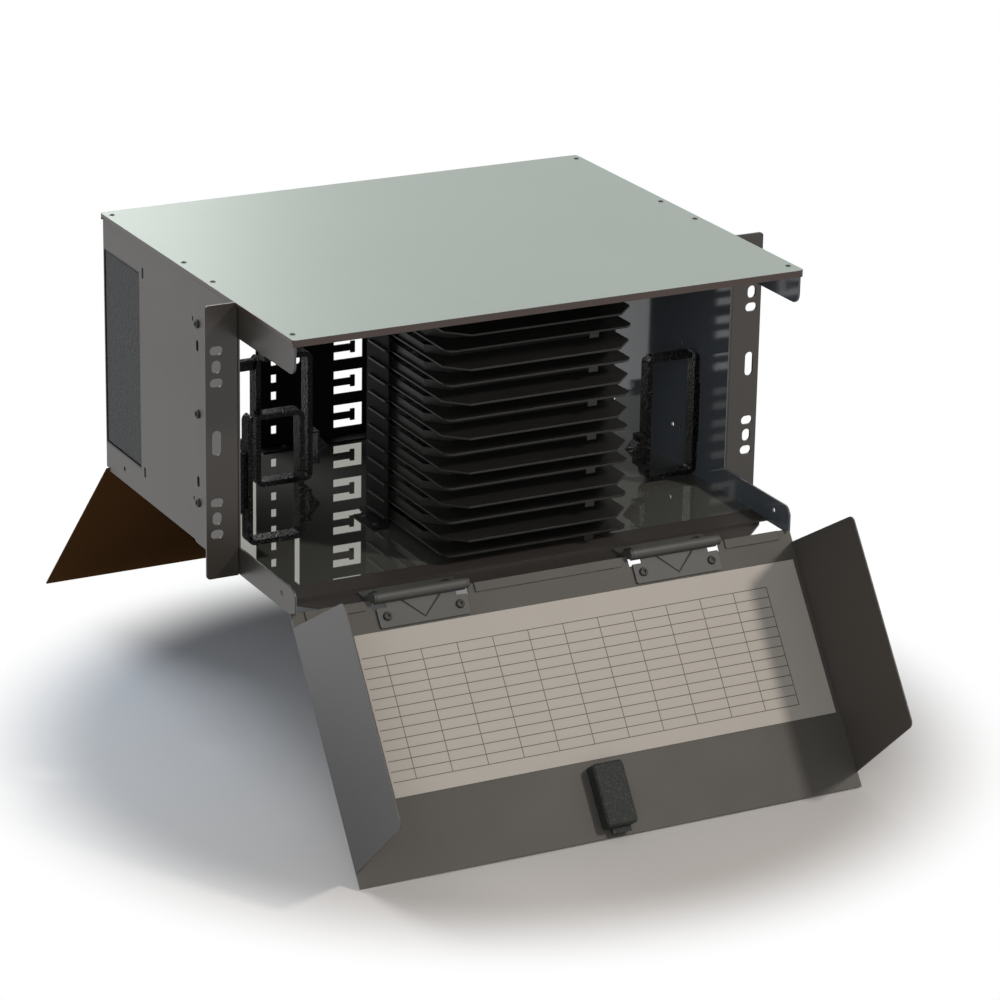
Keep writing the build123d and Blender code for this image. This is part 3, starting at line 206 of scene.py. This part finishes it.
def dress(material, *names):
    """Give CAD nodes a material in place of their own."""
    for name in names:
        slots = nodes[name].data.materials
        slots.clear()
        slots.append(material)


wall_inner_half = 0.2136
case_coat = powder_coat(
    "case_coat",
    ((0.033, 0.028, 0.023), (0.043, 0.037, 0.031)),
    dullness=0.34,
    peel=0.12,
    # Inside the walls: a glossier coat, painted lighter and bluer as a painted reflection of the
    # room.
    zone=lambda place: abs(along(place, "X")) < wall_inner_half,
    zone_tones=((0.104, 0.115, 0.130), (0.120, 0.132, 0.148)),
    zone_dullness=0.06,
)
dress(case_coat, "left_side_wall", "right_side_wall", "left_rack_ear", "right_rack_ear")

# Floor of the case: one steel sheet between the walls, in a harder coat with metal flake, which
# mirrors the windows of the tie panel with an olive cast. Its front is joggled down into a
# duller, browner shelf.

shelf_edge = -0.045
floor_coat = powder_coat(
    "floor_coat",
    ((0.285, 0.283, 0.246), (0.305, 0.303, 0.264)),
    dullness=0.015,
    peel=0.0,
    ease=0.0,
    metal=0.7,
    zone=lambda place: along(place, "Y") < shelf_edge,
    zone_tones=((0.040, 0.034, 0.030), (0.052, 0.045, 0.040)),
    zone_dullness=0.5,
    Specular_IOR_Level=0.3,
)
dress(floor_coat, "chassis_floor")

# Top cover: a shallow lid folded from steel sheet and screwed down round its edges. Its lips and
# its underside have the dark coat. Its face is painted pale grey-green, a painted reflection of
# the bright room on that dark coat.

cover_face = 0.10865
cover_coat = powder_coat(
    "cover_coat",
    ((0.036, 0.020, 0.015), (0.050, 0.030, 0.023)),
    dullness=0.30,
    peel=0.12,
    # Above this height the face is painted pale grey-green: a painted reflection on the dark coat.
    zone=lambda place: along(place, "Z") > cover_face,
    zone_tones=((0.262, 0.302, 0.266), (0.292, 0.334, 0.296)),
    zone_dullness=0.36,
)
dress(cover_coat, "top_cover")

# Doors: thin folded sheets, hemmed along the hinge edge, in the dark coat, the rear one browner.
# The front one has tapered flanges that close round the front of the case, glossier outside, and
# painted lighter and greyer there, a painted sheen.

flange_half = 0.2162
door_coat = powder_coat(
    "door_coat",
    ((0.056, 0.049, 0.041), (0.070, 0.062, 0.053)),
    dullness=0.64,
    # Outer faces of the flanges: glossier, and painted lighter and greyer as a painted sheen.
    zone=lambda place: abs(along(place, "X")) > flange_half,
    zone_tones=((0.068, 0.065, 0.062), (0.082, 0.079, 0.075)),
    zone_dullness=0.36,
)
dress(door_coat, "front_door")
rear_coat = powder_coat(
    "rear_door_coat",
    ((0.074, 0.032, 0.011), (0.090, 0.040, 0.015)),
    dullness=0.45,
    Specular_IOR_Level=0.0,
)
dress(rear_coat, "rear_door")

# Hinges: folded brackets, and leaves rolled from sheet round the pin, with a pressed V in each.
# The brackets are screwed to the case and the leaves to the doors. They are coated like the
# doors, and painted darker in the V and on the cut edges, as painted shade.

hinge_tones = ((0.050, 0.050, 0.045), (0.066, 0.065, 0.059))
hinge_dullness = 0.58
hands = ("left", "right")

# Each door hangs open below level by a tilt. It is kept as a point at its hinge and the direction
# that its outer face looks in.
front_tilt = math.radians(54.57)
rear_tilt = math.radians(46.6)
doors = {
    "front": ((0.0, -0.0999, -0.10335), (0.0, math.sin(front_tilt), -math.cos(front_tilt))),
    "rear": ((0.0, 0.2636, -0.10335), (0.0, -math.sin(rear_tilt), -math.cos(rear_tilt))),
}


def measured(place, origin, direction):
    """How far a place lies from a point, measured in one direction."""
    offset = place.node("ShaderNodeVectorMath", {"operation": "SUBTRACT"}, s0=place, s1=origin)
    return place.node(
        "ShaderNodeVectorMath",
        {"operation": "DOT_PRODUCT"},
        output="Value",
        s0=offset,
        s1=direction,
    )


def painted_shade_below_leaf(origin, outward):
    """A mask of what lies more than a hair below the inner face of a hinge leaf, where painted
    shade goes.
    """
    leaf_face = 0.0028
    return lambda place: measured(place, origin, outward) > leaf_face


dress(
    powder_coat("bracket_coat", hinge_tones, hinge_dullness),
    *[f"{door}_hinge_bracket_{hand}" for door in doors for hand in hands],
)
for door, (origin, outward) in doors.items():
    leaf_coat = powder_coat(
        f"{door}_leaf_coat",
        hinge_tones,
        hinge_dullness,
        zone=painted_shade_below_leaf(origin, outward),
        # Painted shade: darker in the pressed V and on the cut edges.
        zone_tones=((0.010, 0.010, 0.009), (0.016, 0.016, 0.014)),
        zone_dullness=0.7,
    )
    dress(leaf_coat, *[f"{door}_hinge_leaf_{hand}" for hand in hands])

# Screws: pan-headed, turned and rolled from steel, with a hexagon socket and a black oxide
# finish. Each stands where the solid screw of its group stands.


def rubbed_steel(name, dull, bright, metal, dullness):
    """Plated or blackened steel, rubbed brighter and duller in places."""
    material, shader, place = new_material(name)
    spread = 0.2
    wear = mottle(place, scale=260.0, detail=3.0)
    grain = mottle(place, scale=1500.0, detail=2.0)
    feed(
        shader,
        Base_Color=tinted(wear, dull, bright),
        Metallic=metal,
        Roughness=wear * spread + dullness,
        Normal=relief(grain, strength=0.3, depth=0.00005),
    )
    return material


def islands(node):
    """The separate solids of a CAD node, each as a list of its corner points."""
    weld_distance = 1e-6
    welded = bmesh.new()
    welded.from_mesh(nodes[node].data)
    bmesh.ops.remove_doubles(welded, verts=welded.verts, dist=weld_distance)
    reached = set()
    found = []
    for start in welded.verts:
        if start in reached:
            continue
        reached.add(start)
        waiting = [start]
        points = []
        while waiting:
            vert = waiting.pop()
            points.append(vert.co.copy())
            for edge in vert.link_edges:
                other = edge.other_vert(vert)
                if other not in reached:
                    reached.add(other)
                    waiting.append(other)
        found.append(points)
    welded.free()
    return found


def turned_ring(made, centre, across, beside, radius, flats):
    """One ring of corners on a turned part: round with 0 flats, or with that many flats."""
    segments = 36
    ring = []
    for index in range(segments):
        angle = 2 * math.pi * index / segments
        reach = radius
        if flats:
            step = 2 * math.pi / flats
            reach *= math.cos(step / 2) / math.cos(angle % step - step / 2)
        spot = centre + (across * math.cos(angle) + beside * math.sin(angle)) * reach
        ring.append(made.verts.new(spot))
    return ring


def finished_piece(name, made, sharp_above, material):
    """A piece from its corners and faces, creased at bends of more than so many degrees."""
    bmesh.ops.recalc_face_normals(made, faces=made.faces)
    mesh = bpy.data.meshes.new(name)
    made.to_mesh(mesh)
    made.free()
    for face in mesh.polygons:
        face.use_smooth = len(face.vertices) == 4
    mesh.set_sharp_from_angle(angle=math.radians(sharp_above))
    mesh.materials.append(material)
    piece = bpy.data.objects.new(name, mesh)
    bpy.context.collection.objects.link(piece)
    return piece


def turned_group(name, node, body, axis, head_height, rings, material):
    """Turned heads and shanks in place of a CAD group, their heads up the axis.

    Each ring is a share of the head's radius, a share of its height (below 0, of the shank) and
    the number of flats, with 0 for a round one. Without an axis the heads point out of the case.
    """
    made = bmesh.new()
    for points in islands(node):
        middle = sum(points, Vector()) / len(points)
        up = Vector(axis or (math.copysign(1.0, middle.x), 0.0, 0.0)).normalized()
        across = up.orthogonal().normalized()
        beside = up.cross(across)
        top = max(point.dot(up) for point in points)
        depth = top - min(point.dot(up) for point in points) - head_height
        radius = max((point - middle - up * (point - middle).dot(up)).length for point in points)
        loops = []
        for share, level, flats in rings:
            height = top - head_height + (level * head_height if level >= 0 else level * depth)
            centre = middle + up * (height - middle.dot(up))
            loops.append(turned_ring(made, centre, across, beside, radius * share, flats))
        for low, high in zip(loops, loops[1:]):
            for index in range(len(low)):
                after = (index + 1) % len(low)
                made.faces.new((low[index], low[after], high[after], high[index]))
        made.faces.new(list(reversed(loops[0])))
        made.faces.new(loops[-1])
    piece = finished_piece(name, made, sharp_above=38, material=material)
    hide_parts(node)
    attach(piece, body)


def pan_head(shank):
    """Rings of a socket screw, from the end of its shank to the bottom of its socket."""
    return [
        (shank * 0.8, -1.0, 0),
        (shank, -0.93, 0),
        (shank, 0.0, 0),
        (0.97, 0.0, 0),
        (1.0, 0.08, 0),
        (0.985, 0.45, 0),
        (0.91, 0.78, 0),
        (0.78, 0.95, 0),
        (0.62, 1.0, 0),
        (0.53, 1.0, 6),
        (0.50, 0.93, 6),
        (0.50, 0.35, 6),
        (0.05, 0.25, 0),
    ]


black_oxide = rubbed_steel(
    "black_oxide", (0.012, 0.012, 0.012), (0.035, 0.034, 0.032), metal=0.4, dullness=0.42
)
upward = (0, 0, 1)
downward = (0, 0, -1)
front_door_in, rear_door_in = (tuple(-value for value in outward) for _, outward in doors.values())
machine_head = 0.0018
machine_shank = 1.9 / 3.5
cover_head = 0.0005
cover_shank = 1.4 / 2.2
for node, body, axis, head_height, shank in (
    ("ear_screws", "chassis", None, machine_head, machine_shank),
    ("front_bracket_screws", "chassis", upward, machine_head, machine_shank),
    ("rear_bracket_screws", "chassis", downward, machine_head, machine_shank),
    ("front_hinge_screws", "front_door", front_door_in, machine_head, machine_shank),
    ("rear_hinge_screws", "rear_door", rear_door_in, machine_head, machine_shank),
    ("cover_screws", "chassis", upward, cover_head, cover_shank),
):
    turned_group(f"{node}_turned", node, body, axis, head_height, pan_head(shank), black_oxide)

# Rivets, hinge pins and latch springs, all of steel. The rivets have blackened domed heads and
# hold the feet of the tray holder and of the tie panel to the floor. The pins run through the
# hinges, the springs lie inside the latch cases, and both have a bright zinc plate.

rivet_head = 0.001
rivet_shank = 1.5 / 2.6
dome = [
    (rivet_shank, -1.0, 0),
    (rivet_shank, 0.0, 0),
    (1.0, 0.0, 0),
    (0.97, 0.30, 0),
    (0.86, 0.60, 0),
    (0.66, 0.84, 0),
    (0.38, 0.97, 0),
    (0.06, 1.0, 0),
]
turned_group(
    "frame_rivets_domed", "frame_rivets", "chassis", upward, rivet_head, dome, black_oxide
)
zinc_plate = rubbed_steel(
    "zinc_plate", (0.30, 0.30, 0.31), (0.52, 0.52, 0.52), metal=1.0, dullness=0.24
)
dress(zinc_plate, "front_hinge_pins", "rear_hinge_pins", "front_latch_spring", "rear_latch_spring")

# Rear tie panel and tray holder: thin punched and folded sheet with feet that are riveted to the
# floor, in a coat that has hardly any sheen. Its near-black colour, darker than the case's coat,
# is painted shade of the inside of the case.

shaded_inner_coat = powder_coat(
    "shaded_inner_coat",
    # Near-black tones: painted shade of the inside of the case.
    ((0.006, 0.006, 0.006), (0.010, 0.010, 0.010)),
    dullness=0.55,
    Specular_IOR_Level=0.06,
)
dress(shaded_inner_coat, "rear_tie_panel", "tray_holder_left", "tray_holder_right", "tray_holder_back")

# Splice trays: moulded black plastic plates that slide in the holder's slots, each with a low rim
# and a splice comb. The skin is a fine spark texture, duller than the coat round them.

moulded_edge = 0.0005


def moulded(name, dark, light, dullness, texture, depth, **fixed):
    """Moulded plastic with a spark-eroded skin and softened edges."""
    material, shader, place = new_material(name)
    spread = 0.14
    grain = mottle(place, texture, detail=3.0, Roughness=0.55)
    flow = mottle(place, scale=22.0, detail=3.0)
    feed(
        shader,
        Base_Color=tinted(flow * 0.6 + grain * 0.4, dark, light),
        Roughness=flow * spread + (dullness - spread / 2),
        Normal=relief(grain, strength=0.5, depth=depth, ease=moulded_edge),
        **fixed,
    )
    return material


tray_plastic = moulded(
    "tray_plastic",
    (0.014, 0.013, 0.012),
    (0.024, 0.023, 0.020),
    dullness=0.40,
    texture=700.0,
    depth=0.00008,
    Specular_IOR_Level=0.25,
)
dress(tray_plastic, *[name for name in nodes if name.startswith("splice_tray_")])

# Cable rings: flat-section loops moulded in glossy black plastic with a coarse skin, whose crests
# are painted lighter as painted glints. Each stands on a stem and a plate on its side wall.


def pebbled(name, tones, pebble, dullness, height, **fixed):
    """Moulded plastic with a coarse pebbled skin whose crests are painted lighter, as painted
    glints in specks.
    """
    material, shader, place = new_material(name)
    crest_from, crest_rise = 0.54, 9
    grain = mottle(place, 1 / pebble, detail=1.0)
    # The crests of the skin are painted lighter: painted glints.
    painted_glints = smaller(larger((grain - crest_from) * crest_rise, 0.0), 1.0)
    feed(
        shader,
        Base_Color=tinted(painted_glints, *tones),
        Roughness=dullness,
        Normal=relief(grain, strength=1.0, depth=height, ease=moulded_edge),
        **fixed,
    )
    return material


ring_plastic = pebbled(
    "ring_plastic",
    # The second tone is the painted glint on the crests of the skin.
    ((0.002, 0.002, 0.002), (0.013, 0.013, 0.013)),
    pebble=0.0016,
    dullness=0.22,
    height=0.0012,
    Specular_IOR_Level=0.09,
)
dress(ring_plastic, *[name for name in nodes if name.startswith("cable_ring_")])

# Cable entries: a moulded frame in the wall with an open-cell foam pad pressed into it, which
# closes round the cables. The pad is cut square and its edges are drawn in.

frame_plastic = moulded(
    "frame_plastic",
    (0.006, 0.006, 0.006),
    (0.012, 0.012, 0.012),
    dullness=0.40,
    texture=600.0,
    depth=0.00008,
)
dress(frame_plastic, "left_entry_frame", "right_entry_frame")


def open_foam(name):
    """Dark open-cell foam: fine cells in a lumpy face."""
    material, shader, place = new_material(name)
    cells = place.node("ShaderNodeTexVoronoi", {"feature": "F1"}, Vector=place, Scale=620.0)
    lumps = mottle(place, scale=190.0, detail=4.0)
    tone = cells * 0.9 + lumps * 0.4
    feed(
        shader,
        Base_Color=tinted(tone, (0.020, 0.020, 0.020), (0.056, 0.056, 0.056)),
        Roughness=0.8,
        Normal=relief(cells + lumps * 0.6, strength=0.8, depth=0.0005),
    )
    return material


def foam_pad(name, node, material):
    """A pad cut to its frame: rounded edges, and a face that lies uneven between its cells."""
    low, high = (Vector(corner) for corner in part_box(node))
    side = 1.0 if low.x > 0 else -1.0
    outer, inner = (high.x, low.x) if side > 0 else (low.x, high.x)
    pitch = 0.0016
    edge = 0.0012
    unevenness, lump_scale = 0.0005, 260.0
    columns = round((high.y - low.y) / pitch)
    rows = round((high.z - low.z) / pitch)
    made = bmesh.new()
    faces = []
    for outside in (True, False):
        grid = []
        for row in range(rows + 1):
            line = []
            for column in range(columns + 1):
                y = low.y + (high.y - low.y) * column / columns
                z = low.z + (high.z - low.z) * row / rows
                x = inner
                if outside:
                    rim = min(y - low.y, high.y - y, z - low.z, high.z - z)
                    bend = 1.0 - min(rim / edge, 1.0)
                    drawn = edge * (1.0 - math.sqrt(1.0 - bend * bend))
                    swell = 0.5 + 0.5 * noise.noise(Vector((y, z, side)) * lump_scale)
                    x = outer - side * (drawn + unevenness * swell)
                line.append(made.verts.new((x, y, z)))
            grid.append(line)
        faces.append(grid)
        for lower, upper in zip(grid, grid[1:]):
            for index in range(columns):
                made.faces.new((lower[index], lower[index + 1], upper[index + 1], upper[index]))
    front, back = faces
    rims = [(front[0], back[0]), (front[-1], back[-1])]
    rims += [([line[end] for line in front], [line[end] for line in back]) for end in (0, -1)]
    for near, far in rims:
        for index in range(len(near) - 1):
            made.faces.new((near[index], near[index + 1], far[index + 1], far[index]))
    piece = finished_piece(name, made, sharp_above=60, material=material)
    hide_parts(node)
    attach(piece, "chassis")


entry_foam = open_foam("entry_foam")
foam_pad("left_foam_pad", "left_entry_foam", entry_foam)
foam_pad("right_foam_pad", "right_entry_foam", entry_foam)

# Latches: a moulded plastic case on each door with a coarse grained face, and in it a bolt with a
# thumb rib that slides up and down. The crests of the grain are painted lighter, as painted glints.

latch_plastic = pebbled(
    "latch_plastic",
    # The second tone is the painted glint on the crests of the grain.
    ((0.023, 0.025, 0.022), (0.048, 0.050, 0.045)),
    pebble=0.0013,
    dullness=0.6,
    height=0.0006,
    Specular_IOR_Level=0.2,
)
dress(latch_plastic, "front_latch_case", "rear_latch_case", "front_latch_slide", "rear_latch_slide")

# Label: a printed card glued to the inner face of the front door, ruled into a blank table.
# The rules run along the door's own two directions, with bare margins above and below.

label_origin = doors["front"][0]
label_down = (0.0, -math.cos(front_tilt), -math.sin(front_tilt))


def ruled_card(name):
    """Fibrous paper with the thin dark rules of a table, printed across it and down it."""
    material, shader, place = new_material(name)
    rule = 0.0007
    half = rule / 2
    column_start, column_pitch, column_count = -0.1504, 0.0302, 11
    row_start, row_pitch, row_count = 0.0434, 0.0080, 12
    row_rules_start = -0.1695
    column_end = column_start + column_pitch * column_count
    row_end = row_start + row_pitch * row_count
    paper_tones = ((0.412, 0.369, 0.322), (0.458, 0.414, 0.362))
    ink = (0.060, 0.052, 0.044)
    ink_cover = 0.9
    across = along(place, "X")
    down = measured(place, label_origin, label_down)
    column_rule = ((across - (column_start - half)) % column_pitch) < rule
    row_rule = ((down - (row_start - half)) % row_pitch) < rule
    in_rows = (down > row_start - half) * (down < row_end + half)
    in_table = in_rows * (across < column_end + half)
    columns = column_rule * (across > column_start - half)
    lines = row_rule * (across > row_rules_start)
    printed = larger(columns, lines) * in_table
    fibres = mottle(place, scale=500.0, detail=3.0)
    blotch = mottle(place, scale=30.0, detail=2.0)
    paper = tinted(fibres * 0.5 + blotch * 0.5, *paper_tones)
    feed(
        shader,
        Base_Color=tinted(printed * ink_cover, paper, ink),
        Roughness=0.6,
        Normal=relief(fibres, strength=0.15, depth=0.00005),
    )
    return material


dress(ruled_card("label_card"), "front_door_label")

# Camera: at the photograph's angle, in the place and with the roll that its picture was taken
# with, worked out from the ears' holes and the cover's corners.

camera_data = bpy.data.cameras.new("camera")
camera_data.lens = 146.44
camera_data.clip_end = 50.0
camera = bpy.data.objects.new("camera", camera_data)
bpy.context.collection.objects.link(camera)
camera_place = Vector((-1.39172, -2.65176, 1.01013))
camera_forward = Vector((0.43891719, 0.83080862, -0.34221155))
camera_roll = Matrix.Rotation(math.radians(1.054), 4, "Z")
looking = camera_forward.to_track_quat("-Z", "Y").to_matrix().to_4x4()
camera.matrix_world = Matrix.Translation(camera_place) @ looking @ camera_roll
bpy.context.scene.camera = camera

# Studio: a pale matt floor that keeps the object's shadow and runs out to white, a plain room
# that lights the shade, and four soft lamps: a warm one from the front right, cool ones from
# behind on the left and from the front left, and a panel behind that lends the cover its sheen.
# The floor's colour is painted warmer in front and cooler behind, a painted tint of that light.

floor_mesh = bpy.data.meshes.new("studio_floor")
reach = 8.0
floor_z = cad_low[2] - 0.001
corners = [(-reach, -reach), (reach, -reach), (reach, reach), (-reach, reach)]
floor_mesh.from_pydata([(x, y, floor_z) for x, y in corners], [], [(0, 1, 2, 3)])
studio_floor = bpy.data.objects.new("studio_floor", floor_mesh)
bpy.context.collection.objects.link(studio_floor)


def seen_or_mirrored(shade):
    """A mask of the rays that come from the camera, straight or by way of a glossy face."""
    seen = shade.node("ShaderNodeLightPath", output="Is Camera Ray")
    mirrored = shade.node("ShaderNodeLightPath", output="Is Glossy Ray")
    return larger(seen, mirrored)


white_light = (1.0, 1.0, 1.0, 1.0)
# Painted light: the floor's colour goes from warm in front to cool behind, as the lamps tint it.
painted_warm_front, painted_cool_back = (0.650, 0.603, 0.565), (0.600, 0.630, 0.680)
front_end, back_end = -0.3, 0.25
shade_radius, white_radius = 0.30, 0.43
floor_material, floor_shader, floor_place = new_material("studio_floor")
backward = floor_place.node(
    "ShaderNodeMapRange", Value=along(floor_place, "Y"), From_Min=front_end, From_Max=back_end
)
feed(
    floor_shader,
    Base_Color=tinted(backward, painted_warm_front, painted_cool_back),
    Roughness=0.9,
    Specular_IOR_Level=0.0,
)
lit = Shade(floor_place.tree, floor_shader.outputs[0])
glow = floor_place.node("ShaderNodeEmission", Color=white_light, Strength=0.03)
blank = floor_place.node("ShaderNodeEmission", Color=white_light, Strength=1.0)
lifted = floor_place.node("ShaderNodeAddShader", s0=glow, s1=lit)
level = floor_place.node(
    "ShaderNodeVectorMath", {"operation": "MULTIPLY"}, s0=floor_place, s1=(1.0, 1.0, 0.0)
)
distance = floor_place.node(
    "ShaderNodeVectorMath", {"operation": "LENGTH"}, output="Value", s0=level
)
fade = floor_place.node(
    "ShaderNodeMapRange",
    {"interpolation_type": "SMOOTHSTEP"},
    Value=distance,
    From_Min=shade_radius,
    From_Max=white_radius,
)
shown = floor_place.node("ShaderNodeMixShader", s0=fade, s1=lifted, s2=blank)
surface = floor_place.node(
    "ShaderNodeMixShader", s0=seen_or_mirrored(floor_place), s1=lit, s2=shown
)
floor_output = floor_place.tree.nodes["Material Output"]
floor_place.tree.links.new(surface.socket, floor_output.inputs["Surface"])
floor_mesh.materials.append(floor_material)

world = bpy.data.worlds.new("studio")
bpy.context.scene.world = world
world.use_nodes = True
sky = Shade(world.node_tree)
through = sky.node("ShaderNodeLightPath", output="Is Transmission Ray")
shown_white = larger(seen_or_mirrored(sky), through)
room = sky.node("ShaderNodeBackground", Color=(0.86, 0.92, 1.0, 1.0), Strength=0.26)
white = sky.node("ShaderNodeBackground", Color=white_light, Strength=1.0)
background = sky.node("ShaderNodeMixShader", s0=shown_white, s1=room, s2=white)
world_output = sky.tree.nodes["World Output"]
sky.tree.links.new(background.socket, world_output.inputs["Surface"])


def soft_lamp(name, place, aim, size, power, colour):
    """A square area lamp at a place, turned towards a point."""
    data = bpy.data.lights.new(name, "AREA")
    data.shape = "SQUARE"
    data.size = size
    data.energy = power
    data.color = colour
    lamp = bpy.data.objects.new(name, data)
    lamp.location = place
    lamp.rotation_euler = (Vector(aim) - Vector(place)).to_track_quat("-Z", "Y").to_euler()
    bpy.context.collection.objects.link(lamp)
    return lamp


cool_light = (0.93, 0.97, 1.0)
soft_lamp(
    "front_right",
    (1.25, -1.65, 1.53),
    aim=(0.0, -0.15, -0.15),
    size=0.22,
    power=29.0,
    colour=(1.0, 0.95, 0.88),
)
soft_lamp(
    "back_left", (-0.9, 1.7, 1.9), aim=(0.0, 0.0, -0.1), size=1.3, power=38.0, colour=cool_light
)
soft_lamp(
    "front_left", (-1.4, -2.2, 0.9), aim=(0.0, -0.1, -0.05), size=1.2, power=15.0, colour=cool_light
)
panel = soft_lamp(
    "back_panel",
    (0.15, 2.1, 0.88),
    aim=(0.0, 0.0, 0.1),
    size=1.1,
    power=10.5,
    colour=(0.95, 1.0, 0.95),
)

# The panel doesn't light the floor of the case, which would mirror it as a glare when seen from
# high in front.
left_out = bpy.data.collections.new("panel_left_out")
left_out.objects.link(nodes["chassis_floor"])
left_out.collection_objects[0].light_linking.link_state = "EXCLUDE"
panel.light_linking.receiver_collection = left_out

bpy.context.scene.view_settings.view_transform = "Standard"
